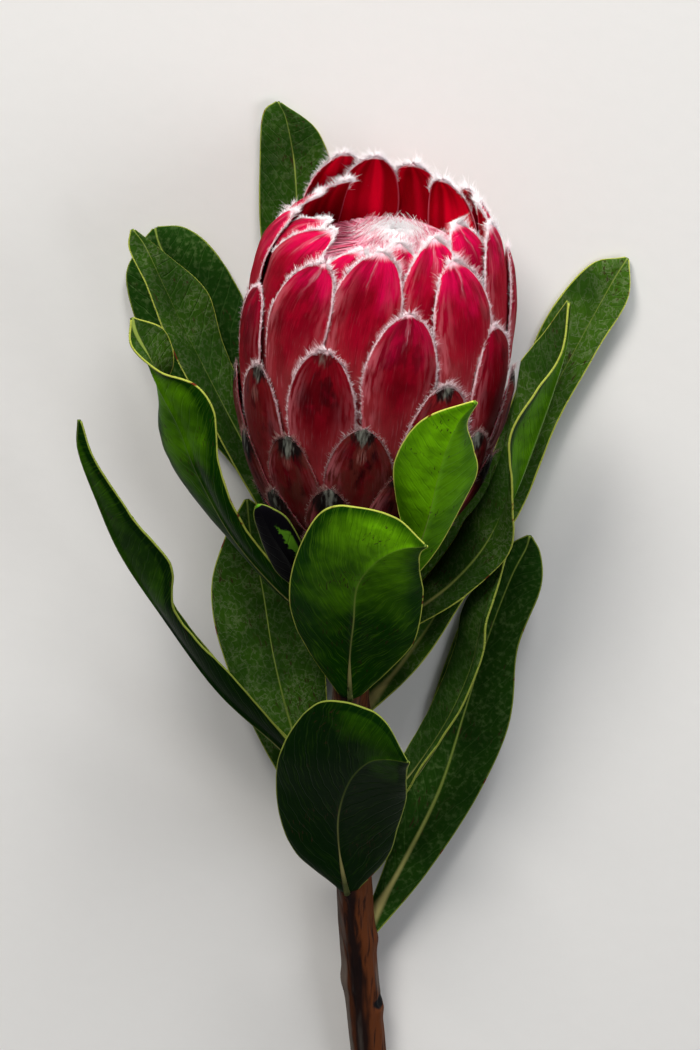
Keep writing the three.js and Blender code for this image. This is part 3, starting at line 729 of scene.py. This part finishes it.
# Shares of a bract's length, from its tip: where it is widest, where it rests on the head again,
# where it starts to sink under the others, and how much of it leans. Its foot is less wide again.
foot_width_share = 0.8
widest_share = 0.55
resting_share = 0.45
sinking_share = 0.15
leaning_share = 0.8
bract_form = {"Crown": 0.0011, "Sink": 0.0032, "Waviness": 0.0008}
bract_plate = {"Thickness": 0.0006, "Overlap": 1.5, "Columns": 17, "Rows": 31}


def outline_lengths(points):
    """The distance along the points to each of them"""
    steps = [(after - before).length for before, after in zip(points, points[1:])]
    return np.concatenate([[0.0], np.cumsum(steps)])


def bract_tip_height(index):
    """The spirals climb evenly to a rim that is a little wavy, and higher on the table side."""
    azimuth = first_azimuth - golden_angle * index
    rim = highest_rim + math.sin(index * rim_wave_turn) + rim_slope * (1 - math.cos(azimuth))
    return min(middle_tip + (lower_climb if index < 0 else upper_climb) * index, rim)


def bract_width(height):
    widening = min(1, max(0, (height - widening_from) / widening_over))
    return (least_width + added_width * widening) * millimetre


def seed_points(name, columns):
    """Loose points at the origin, one for each piece that will be repeated, with its sizes"""
    mesh = bpy.data.meshes.new(name)
    mesh.vertices.add(len(next(iter(columns.values()))))
    for label, values in columns.items():
        mesh.attributes.new(label, "FLOAT", "POINT").data.foreach_set("value", values)
    return linked(name, mesh)


def outline_object(name, points):
    """The outline as a plain curve, radius along x and height along z"""
    curve = bpy.data.curves.new(name, "CURVE")
    curve.dimensions = "3D"
    spline = curve.splines.new("POLY")
    spline.points.add(len(points) - 1)
    for spot, point in zip(spline.points, points):
        spot.co = (*point, 1)
    return linked(name, curve)


class Growth(Graph):
    """A Geometry Nodes tree that repeats a template on seeds and shapes the copies"""

    def __init__(self, name, sizes):
        tree = bpy.data.node_groups.new(name, "GeometryNodeTree")
        kinds = {"Seeds": "Geometry", "Outline": "Object", "Finish": "Material"}
        for label, start in sizes.items():
            kinds[label] = "Int" if isinstance(start, int) else "Float"
        for label, kind in kinds.items():
            socket = tree.interface.new_socket(label, in_out="INPUT", socket_type="NodeSocket" + kind)
            if label in sizes:
                socket.default_value = sizes[label]
        tree.interface.new_socket("Pieces", in_out="OUTPUT", socket_type="NodeSocketGeometry")
        super().__init__(tree)
        self.inputs = self.node("NodeGroupInput", {}, {})

    def size(self, label):
        return self.inputs.out(label)

    def seed(self, label):
        return self.node("GeometryNodeInputNamedAttribute", {"data_type": "FLOAT"}, {"Name": label})

    def store(self, geometry, values):
        for label, value in values.items():
            sockets = {"Geometry": geometry, "Name": label, "Value": value}
            geometry = self.node("GeometryNodeStoreNamedAttribute", {"data_type": "FLOAT"}, sockets)
        return geometry

    def multiplied(self, amount, draws):
        """The seeds, each of them amount times with values drawn at random, and each copy's number"""
        sockets = {"Geometry": self.size("Seeds"), "Amount": amount}
        copies = self.node("GeometryNodeDuplicateElements", {"domain": "POINT"}, sockets)
        number = copies.out("Duplicate Index")
        for salt, (label, (low, high)) in enumerate(draws.items()):
            sockets = {"Min": low, "Max": high, "Seed": self.size("Seed") + salt}
            copies = self.store(copies, {label: self.node("FunctionNodeRandomValue", {}, sockets)})
        return copies, number

    def repeated(self, seeds, template):
        copies = self.node("GeometryNodeInstanceOnPoints", {}, {"Points": seeds, "Instance": template})
        return self.node("GeometryNodeRealizeInstances", {}, {"Geometry": copies})

    def template_place(self):
        return self.apart(self.node("GeometryNodeInputPosition", {}, {}))

    def on_outline(self, azimuth, arc, place, offset, least_radius):
        """The point at this distance along the outline, turned round the axis by azimuth and by the
        length arc, and standing off the outline by offset"""
        outline = self.node("GeometryNodeObjectInfo", {}, {"Object": self.size("Outline")}).out("Geometry")
        sockets = {"Curves": outline, "Length": place}
        sample = self.node("GeometryNodeSampleCurve", {"mode": "LENGTH"}, sockets)
        radius, _, height = self.apart(sample.out("Position"))
        outward, _, upward = self.apart(sample.out("Tangent"))
        across = self.vector(radius + upward * offset, 0, height - outward * offset)
        angle = azimuth + arc / radius.at_least(least_radius) - math.pi / 2
        sockets = {"Vector": across, "Angle": angle}
        return self.node("ShaderNodeVectorRotate", {"rotation_type": "Z_AXIS"}, sockets)

    def close(self, geometry, position):
        shaped = self.node("GeometryNodeSetPosition", {}, {"Geometry": geometry, "Position": position})
        sockets = {"Geometry": shaped, "Material": self.size("Finish")}
        finished = self.node("GeometryNodeSetMaterial", {}, sockets)
        self.node("NodeGroupOutput", {}, {"Pieces": finished})


def grown(name, seeds, growth, sizes, matrix):
    """The plain mesh object that the tree makes of the seeds, put in its place above the table"""
    modifier = seeds.modifiers.new(name, "NODES")
    modifier.node_group = growth.tree
    for socket in growth.tree.interface.items_tree:
        if socket.name in sizes:
            modifier[socket.identifier] = sizes[socket.name]
    graph = bpy.context.evaluated_depsgraph_get()
    mesh = bpy.data.meshes.new_from_object(
        seeds.evaluated_get(graph), preserve_all_data_layers=True, depsgraph=graph
    )
    seeds.modifiers.remove(modifier)
    mesh.name = name
    mesh.transform(matrix)
    places = np.empty(len(mesh.vertices) * 3)
    mesh.vertices.foreach_get("co", places)
    places[2::3] = np.maximum(places[2::3], 0)
    mesh.vertices.foreach_set("co", places)
    mesh.shade_smooth()
    return linked(name, mesh)


def bract_shape(growth, across, fall):
    """The arc, the place and the depth of a bract's surface: across is -1..1, and fall is 0 at the
    tip and 1 at the foot"""
    past = (1 - fall / widest_share).at_least(0)
    rounding = (1 - past * past).at_least(0) ** 0.6
    foot_width = foot_width_share + (1 - foot_width_share) * (1 - fall) / (1 - widest_share)
    narrowing = rounding.at_most(foot_width)
    half_width = (growth.seed("width") * 0.5 * narrowing).at_least(least_half_width * millimetre)
    place = growth.seed("tip_place") - fall * growth.seed("length")
    sunk = growth.size("Sink") * (fall - sinking_share).at_least(0)
    tucked = growth.seed("curl") * (1 - fall / resting_share).at_least(0) ** 2
    crown = growth.size("Crown") * across * across * narrowing
    wobble_place = growth.vector(across * 0.9, fall * 4, growth.seed("order"))
    wobble = (growth.noise(1, 1, wobble_place) - 0.5) * growth.size("Waviness")
    depth = growth.seed("depth") + sunk + tucked + crown + wobble
    leaning = growth.seed("lean") * (1 - fall / leaning_share).at_least(0) ** 1.5
    return across * half_width + leaning, place, depth


shingle = Growth("bract_growth", {**bract_form, **bract_plate})
plate_sizes = {
    "Size": (2, 1, 2),
    "Vertices X": shingle.size("Columns"),
    "Vertices Y": shingle.size("Rows"),
    "Vertices Z": 2,
}
plates = shingle.repeated(shingle.size("Seeds"), shingle.node("GeometryNodeMeshCube", {}, plate_sizes))
plate_x, plate_y, plate_side = shingle.template_place()
bract_rise = 0.5 - plate_y
plates = shingle.store(plates, {
    "across": plate_x * (1.25 - 0.25 * plate_x * plate_x),
    "fall": bract_rise * (0.6 + 0.4 * bract_rise) * shingle.size("Overlap"),
    "outer": plate_side,
})
kept_across = shingle.seed("across")
kept_fall = shingle.seed("fall")
bract_arc, bract_place, bract_depth = bract_shape(shingle, kept_across, kept_fall)
plates = shingle.store(plates, {
    "beside": bract_arc / millimetre,
    "below": kept_fall * shingle.seed("length") / millimetre,
})
half_thickness = shingle.size("Thickness") * 0.5 * (1 - 0.6 * abs(kept_across) ** 6)
bract_offset = shingle.seed("outer") * half_thickness - bract_depth
bract_position = shingle.on_outline(
    shingle.seed("azimuth"), bract_arc, bract_place, bract_offset, shingle.seed("width") * 0.5
)
shingle.close(plates, bract_position)

bract_skin, petal = new_material("bract_skin")
across = petal.carried("across")
fall = petal.carried("fall")
order = petal.carried("order")
beside = petal.carried("beside")
below = petal.carried("below")
outer = petal.carried("outer").rising(-0.5, 0.5)
from_keel = abs(across)


def pattern(wide, long, turn, scale, detail, side=across, down=fall):
    """Noise drawn out along the bract, another one on each bract"""
    return petal.noise(scale, detail, petal.vector(side * wide, down * long, order * turn))


silk = pattern(7, 2.2, 0.37, 3.2, 4)
blotch = pattern(1.2, 3, 0.61, 1.6, 3)
stain = pattern(1.4, 2.6, 1.31, 1.5, 4)
shadow_red = pattern(1.1, 1.7, 2.17, 1.7, 4)
fibres = pattern(15, 2.6, 0.91, 3, 4)
bloomy = pattern(4, 2.4, 1.73, 2, 4)
comb = pattern(3, 60, 0.53, 1.5, 3)
stripe = pattern(1.7, 0.35, 0.77, 1, 1)
ragged = pattern(0.9, 0.22, 0.71, 1, 3, beside, below)
tufted = pattern(0.9, 0.25, 0.43, 1.2, 4, beside, below)
mottle = petal.noise(320, 3)
oldest_red = petal.mix(order.rising(-24, -6), (0.03, 0.014, 0.008), (0.085, 0.017, 0.012))
# The upper bracts' tips are lighter and pinker than their deep crimson middles: partly their own colour,
# partly a painted highlight.
crimson_below_tip_highlight = (fall + (blotch - 0.5) * 0.6).rising(0.02, 0.42)
upper_red = petal.mix(crimson_below_tip_highlight, (0.58, 0.001, 0.06), (0.29, 0.001, 0.013))
stain_strength = 0.92 - 0.5 * order.rising(4, 14) - 0.3 * order.rising(13, 20)
stained = stain.rising(0.46, 0.58) * stain_strength * fall.rising(0.7, 0.35) * from_keel.rising(0.98, 0.5)
base_share = (fall + from_keel * 0.25 + (blotch - 0.5) * 0.4).rising(0.55, 1.2)
# A pale pink veil along the margins below the tip: partly the silk's own colour, partly painted sheen where
# the silky hairs catch light, stronger on the left margin.
side_silk_sheen = (0.26 - 0.14 * across) * from_keel.rising(0.3, 0.95) * fall.rising(0.06, 0.4)
keel = abs(across + (blotch - 0.5) * 0.9).rising(0.11, 0) * fall.rising(0.32, 0.06)
keel = keel * order.rising(9, 16)
silk_share = silk.rising(0.55, 0.78) * (0.02 + 0.16 * base_share + 0.8 * keel) + keel * 0.12
# The tips of the old bracts carry black and grey felt, and a pale fleck below it
old_share = order.rising(4, -16)
felt_side = abs(beside) / (3.4 + 6.5 * old_share)
felt_down = below / (4.8 + 5 * old_share)
felt_shape = (felt_side * felt_side + felt_down * felt_down) ** 0.5 + (ragged - 0.5) * 1.2
felt_share = felt_shape.rising(1.15, 0.65) * order.rising(11, 5)
pale_felt = (tufted + 0.08 - abs(beside) * 0.09 - below * 0.012).rising(0.34, 0.7)
felt_colour = petal.mix(pale_felt, (0.004, 0.004, 0.004), (0.17, 0.18, 0.15))
fleck_side = beside / 1.7 + (ragged - 0.5) * 1.4
fleck_down = (below - 8) / 3
fleck = (1 - fleck_side * fleck_side - fleck_down * fleck_down).at_least(0) * silk.rising(0.38, 0.6)
fleck_share = fleck * order.rising(-8, -3) * order.rising(7, 2)
# The upper bracts have a white edge, and the tips of the uppermost are white too
edge_share = (from_keel + (comb - 0.5) * 0.12).rising(0.94, 0.995) * fall.rising(0.8, 0.15)
white_tip = (below + (silk - 0.5) * 3.4).rising(0.9 + 1.6 * order.rising(14, 20), 0.3) * 0.85
edge_share = edge_share.at_least(white_tip * order.rising(0, 12))
edge_colour = petal.mix(order.rising(-6, 14), (0.12, 0.04, 0.035), (0.97, 0.7, 0.76))
outer_colour = petal.layers(
    oldest_red,
    (order.rising(-3, 10), (0.17, 0.001, 0.006)),
    (order.rising(7, 20), upper_red),
    (stained, (0.016, 0.001, 0.002)),
    (shadow_red.rising(0.46, 0.62) * 0.6, (0.12, 0.001, 0.004)),
    (fibres.rising(0.5, 0.68) * 0.4, (0.11, 0.001, 0.005)),
    (mottle.rising(0.5, 0.8) * 0.1, (0.6, 0.002, 0.04)),
    (base_share * 0.75, (0.34, 0.045, 0.05)),
    (side_silk_sheen * bloomy.rising(0.4, 0.62), (0.8, 0.22, 0.26)),
    (silk_share, (0.9, 0.6, 0.66)),
    (fleck_share * 0.45, (0.46, 0.2, 0.17)),
    (felt_share * 0.93, felt_colour),
    (edge_share * 0.85, edge_colour),
)
inner_colour = petal.layers(
    (0.34, 0.001, 0.008),
    (stripe.rising(0.4, 0.62), (0.95, 0.001, 0.034)),
    (from_keel.rising(0.94, 0.99) * 0.7, (0.8, 0.16, 0.24)),
    ((below + (silk - 0.5) * 1.6).rising(1.3, 0.5) * 0.85, (0.97, 0.84, 0.87)),
)
petal_colour = petal.mix(outer, inner_colour, outer_colour)
petal_roughness = 0.36 + outer * 0.24 + silk_share * 0.1
petal.finish(petal_colour, petal_roughness, silk * 0.8 + mottle * 0.3, 0.00018, specular=0.02)

bract_orders = list(range(first_bract, last_bract + 1))
bract_strays = [tip_strays.get(index, usual_stray) for index in bract_orders]
bract_heights = [bract_tip_height(index) + stray[2] for index, stray in zip(bract_orders, bract_strays)]
outline_climb = [point.z for point in head_outline]
head_lengths = outline_lengths(head_outline)
tip_places = [float(np.interp(height * millimetre, outline_climb, head_lengths)) for height in bract_heights]
bract_sizes = {
    "order": [float(index) for index in bract_orders],
    "azimuth": [first_azimuth - golden_angle * index for index in bract_orders],
    "tip_place": tip_places,
    "length": [min(bract_length, place) for place in tip_places],
    "width": [bract_width(height) for height in bract_heights],
    "depth": [front_depth + depth_step * max(0, index - last_in_front) for index in bract_orders],
    "lean": [stray[0] * millimetre for stray in bract_strays],
    "curl": [stray[1] * millimetre for stray in bract_strays],
}
head_curve = outline_object("head_outline", head_outline)
bract_seeds = seed_points("bract_seeds", bract_sizes)
bract_ends = {"Outline": head_curve, "Finish": bract_skin}
bract_piece = grown("bract_plates", bract_seeds, shingle, bract_ends, head_lean)
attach(bract_piece, "root")
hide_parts("bracts")


# Receptacle
# The woody cup that carries the bracts and the florets, dark and only seen in the gaps between
# the bracts. A closed turned body inside the head's outline.
cup_inset = 6 * millimetre
cup_top = 70 * millimetre
cup_least_radius = 0.004
cup_floor = 0.0003
cup_stride = 8
turned_sides = 64


def turned_rings(points, sides):
    """Rings round the axis through points of radius and height"""
    turns = [2 * math.pi * side / sides for side in range(sides)]
    return [
        [Vector((point.x * math.sin(turn), -point.x * math.cos(turn), point.z)) for turn in turns]
        for point in points
    ]


cup_points = []
for before, after in zip(head_outline[::cup_stride], head_outline[cup_stride::cup_stride]):
    course = (after - before).normalized()
    point = before - Vector((course.z, 0, -course.x)) * cup_inset
    if point.z < cup_top:
        cup_points.append(Vector((max(point.x, cup_least_radius), 0, max(point.z, cup_floor))))
cup_points.append(Vector((cup_least_radius, 0, cup_top)))
cup_skin, cup = new_material("cup_skin")
cup_grain = cup.noise(260, 3)
cup_colour = cup.mix(cup_grain, (0.03, 0.008, 0.008), (0.1, 0.02, 0.02))
cup.finish(cup_colour, 0.8 + 0.1 * cup_grain, cup_grain, 0.0002)
cup_piece = loft("receptacle", turned_rings(cup_points, turned_sides), {}, head_lean, cup_skin)
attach(cup_piece, "root")
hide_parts("bracts")


# Fringes
# The silky hairs on the bracts' margins and tips: white on the upper bracts, grey and brown on
# the old ones at the bottom. Thin cones are repeated along each margin and lean out and upward.
fringes = {
    # piece: its first and last bract, and how its hairs differ from the usual ones
    "fringe_upper": (3, last_bract, {}),
    "fringe_lower": (first_bract, 2, {"Seed": 1, "Hairs": 560, "Hair length": 0.0019, "Reach": 0.75}),
    "rim_tufts": (16, last_bract, {"Seed": 2, "Hairs": 260, "Hair length": 0.0027, "Reach": 0.25}),
}
hair_sizes = {"Seed": 0, "Hairs": 1200, "Hair length": 0.002, "Hair radius": 0.00008, "Reach": 0.85}
hair_draws = {
    "stray_across": (0, 1), "stray_along": (-0.012, 0.012), "lean_out": (0.2, 0.9), "lean_up": (0.2, 0.9),
    "lift": (-0.05, 0.4), "bend": (-0.45, 0.45), "size": (0.4, 1.15),
}
hair_relief = 0.00001
hair_gloss = 0.2

fringe = Growth("fringe_growth", {**bract_form, **hair_sizes})
hair_points, hair_number = fringe.multiplied(fringe.size("Hairs"), hair_draws)
hair_points = fringe.store(hair_points, {
    "side_sign": hair_number.math("MODULO", hair_number, 2) * 2 - 1,
    "share_along": hair_number / fringe.size("Hairs"),
})
cone_form = {"Vertices": 3, "Side Segments": 1, "Radius Top": 0, "Radius Bottom": 1, "Depth": 1}
hairs = fringe.repeated(hair_points, fringe.node("GeometryNodeMeshCone", {"fill_type": "NGON"}, cone_form))
hairs = fringe.store(hairs, dict(zip(("cone_x", "cone_y", "rise"), fringe.template_place())))
rise = fringe.seed("rise")
hair_side = fringe.seed("side_sign")
rim_bract = fringe.seed("order").rising(16, 28)
hair_reach = fringe.size("Reach") * (1 - 0.7 * rim_bract)
hair_fall = fringe.seed("share_along") ** 1.8 * hair_reach + fringe.seed("stray_along")
on_tip = hair_fall.rising(0.09, 0)
near_tip = hair_fall.rising(0.3, 0)
hair_across = hair_side * (1 - fringe.seed("stray_across") * (0.08 + 0.9 * on_tip))
root_arc, root_place, root_depth = bract_shape(fringe, hair_across, hair_fall.at_least(0))
tuft_place = fringe.vector(fringe.seed("order") * 1.7, hair_side * 2, hair_fall * 16)
tufts = fringe.noise(1, 2, tuft_place).rising(0.35, 0.65)
hair_length = fringe.size("Hair length") * fringe.seed("size")
hair_length = hair_length * (0.65 + 0.35 * near_tip + 0.35 * on_tip) * (0.55 + 0.8 * tufts)
bent = fringe.seed("bend") * rise * rise * hair_length
out_way = hair_side * fringe.seed("lean_out") * hair_length * rise
hair_radius = fringe.size("Hair radius")
hair_position = fringe.on_outline(
    fringe.seed("azimuth"),
    root_arc + out_way + bent + fringe.seed("cone_x") * hair_radius,
    root_place + fringe.seed("lean_up") * hair_length * rise,
    fringe.seed("lift") * hair_length * rise - root_depth + bent - fringe.seed("cone_y") * hair_radius,
    fringe.seed("width") * 0.5,
)
fringe.close(hairs, hair_position)

hair_skin, hair = new_material("fringe_hair")
hair_order = hair.carried("order")
hair_rise = hair.carried("rise")
hair_white = hair.mix(hair_order.rising(8, 22), (1, 0.85, 0.89), (1, 0.95, 0.97))
hair_colour = hair.layers(
    (0.24, 0.14, 0.12),
    (hair_order.rising(-6, 13), hair_white),
    (hair_rise.rising(0.7, 0) * 0.36, (0.76, 0.32, 0.38)),
)
hair.finish(hair_colour, 0.5 + 0.2 * hair.carried("size"), hair_rise, hair_relief, hair_gloss)

fringe_seeds = []
for name, (low, high, sizes) in fringes.items():
    picked = [place for place, index in enumerate(bract_orders) if low <= index <= high]
    columns = {label: [values[place] for place in picked] for label, values in bract_sizes.items()}
    seeds = seed_points(name + "_seeds", columns)
    fringe_seeds.append(seeds)
    sizes = {"Outline": head_curve, "Finish": hair_skin, **sizes}
    fringe_piece = grown(name, seeds, fringe, sizes, head_lean)
    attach(fringe_piece, "root")


# Florets
# Some hundreds of silky flowers stand packed in the cup, and their hairy tips close over the middle
# in a swirl. A dome carries long thin strands that climb to its crown and end in a white tuft.
dome_profile = [(25, 72.3), (25, 77), (23.2, 82.5), (18.5, 87.8), (10.5, 91), (0.4, 92.2)]
dome_skew = 3 * millimetre
dome_steps = 60
dome_foot_radius = 0.001
dome_points = [Vector((radius, 0, height)) * millimetre for radius, height in dome_profile]
dome_outline = [smooth_through(dome_points, step / dome_steps) for step in range(dome_steps + 1)]
dome_lengths = outline_lengths(dome_outline)
dome_length = float(dome_lengths[-1])
strand_length = 0.0115
strand_sizes = {
    "Seed": 5, "Strands": 2600, "Strand length": strand_length, "Strand radius": 0.00017, "Swirl": 0.42,
    "Lowest share": 0.0, "Free lift": 0.0009, "Curl": 0.0007, "Dome length": dome_length, "Skew": dome_skew,
}
tuft_sizes = {
    "Strands": 2400, "Strand length": 0.0042, "Strand radius": 0.00011, "Swirl": 0.3, "Lowest share": 0.84,
    "Free lift": 0.0042, "Curl": 0.0022,
}
strand_draws = {
    "stray": (-0.5, 0.5), "arch": (0.1, 1), "size": (0.6, 1.2), "bend": (-1, 1), "tint": (0, 1),
    "short_of_top": (0.0002, 0.0035), "free_end": (0, 1),
}
hidden_foot = 0.005
foot_stray = 0.004
least_strand = 0.0006
arch_height = 0.0007
crown_radius = 0.0008

strand = Growth("strand_growth", strand_sizes)
strand_points, strand_number = strand.multiplied(strand.size("Strands"), strand_draws)
strand_points = strand.store(strand_points, {
    "rank": (strand_number + 0.5) / strand.size("Strands"),
    "turn": strand_number * golden_angle,
})
tube_form = {"Vertices": 3, "Side Segments": 6, "Radius": 1, "Depth": 1}
tube = strand.node("GeometryNodeMeshCylinder", {"fill_type": "NGON"}, tube_form)
strands = strand.repeated(strand_points, tube)
strand_x, strand_y, strand_z = strand.template_place()
strands = strand.store(strands, {"strand_x": strand_x, "strand_y": strand_y, "rise": strand_z + 0.5})
climb = strand.seed("rise")
dome_all = strand.size("Dome length")
lowest = strand.size("Lowest share")
foot_share = lowest + (1 - lowest) * (1 - (1 - strand.seed("rank")) ** 0.5)
foot_place = (dome_all * foot_share - hidden_foot + strand.seed("stray") * foot_stray).at_least(0)
room_left = (dome_all - strand.seed("short_of_top") - foot_place).at_least(least_strand)
strand_reach = (strand.size("Strand length") * strand.seed("size")).at_most(room_left)
strand_place = foot_place + climb * strand_reach
strands = strand.store(strands, {"height_share": strand_place / dome_all})
strand_width = strand.size("Strand radius") * (1 - climb * climb * 0.8)
arch = strand.seed("arch") * arch_height * (climb * (1 - climb) * 4)
arch = arch + strand.seed("free_end") * strand.size("Free lift") * climb * climb
sideways = strand.seed("bend") * strand.size("Curl") * climb * climb
strand_position = strand.on_outline(
    strand.seed("turn") + strand.size("Swirl") * climb * strand_reach / strand_length,
    strand.seed("strand_x") * strand_width + sideways,
    strand_place,
    arch - strand.seed("strand_y") * strand_width,
    crown_radius,
)
skewed = strand.vector(strand.size("Skew") * (strand_place / dome_all) ** 2, 0, 0)
skewed = strand.node("ShaderNodeVectorMath", {"operation": "ADD"}, {0: strand_position, 1: skewed})
strand.close(strands, skewed)

silk_skin, silky = new_material("floret_silk")
silk_tint = silky.carried("tint")
silk_rise = silky.carried("rise")
silk_x, _, silk_z = silky.apart(silky.place())
far_side = silk_z.rising(0.048, 0.036)
crown_share = (silky.carried("height_share") + far_side * 0.1 + (silk_tint - 0.5) * 0.24).rising(0.8, 0.92)
# Painted shade: the strands toward the back-left of the dome are painted dark.
painted_shade_back_left = silk_x.rising(0.001, -0.004) * silk_z.rising(0.05, 0.042)
silk_colour = silky.layers(
    (0.62, 0.035, 0.11),
    (silk_tint.rising(0, 0.7), (0.97, 0.38, 0.52)),
    (silk_rise.rising(0.5, 1) * silk_tint * 0.8, (0.98, 0.86, 0.88)),
    (crown_share, (1, 0.99, 1)),
    (painted_shade_back_left * 0.85, (0.2, 0.008, 0.035)),
)
silky.finish(silk_colour, 0.6 + 0.1 * silk_tint, silk_rise, hair_relief, hair_gloss)

dome_skin, dome = new_material("dome_skin")
dome_grain = dome.noise(420, 4)
dome_colour = dome.layers(
    (0.22, 0.02, 0.04),
    (dome_grain.rising(0.35, 0.7), (0.62, 0.26, 0.3)),
    (dome.carried("height_share").rising(0.76, 0.92), (1, 0.97, 0.98)),
)
dome.finish(dome_colour, 0.7 + 0.1 * dome_grain, dome_grain, 0.0004)
dome_rings = turned_rings([Vector((dome_foot_radius, 0, dome_points[0].z))] + dome_outline, turned_sides)
dome_climb = [0.0] + [float(length) / dome_length for length in dome_lengths]
for ring, climbed in zip(dome_rings, dome_climb):
    for point in ring:
        point.x += dome_skew * climbed**2
dome_marks = {"height_share": [climbed for climbed in dome_climb for side in range(turned_sides)]}
dome_piece = loft("floret_dome", dome_rings, dome_marks, head_lean, dome_skin)
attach(dome_piece, "root")
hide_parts("florets")

dome_curve = outline_object("dome_outline", dome_outline)
strand_seeds = seed_points("strand_seeds", {"order": [0.0]})
for name, sizes in (("floret_strands", {}), ("floret_tuft", tuft_sizes)):
    sizes = {"Outline": dome_curve, "Finish": silk_skin, **sizes}
    strand_piece = grown(name, strand_seeds, strand, sizes, head_lean)
    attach(strand_piece, "root")


# Closing
# The outlines and seeds have done their work and are removed.
for helper in (head_curve, dome_curve, bract_seeds, strand_seeds, *fringe_seeds):
    bpy.data.objects.remove(helper)
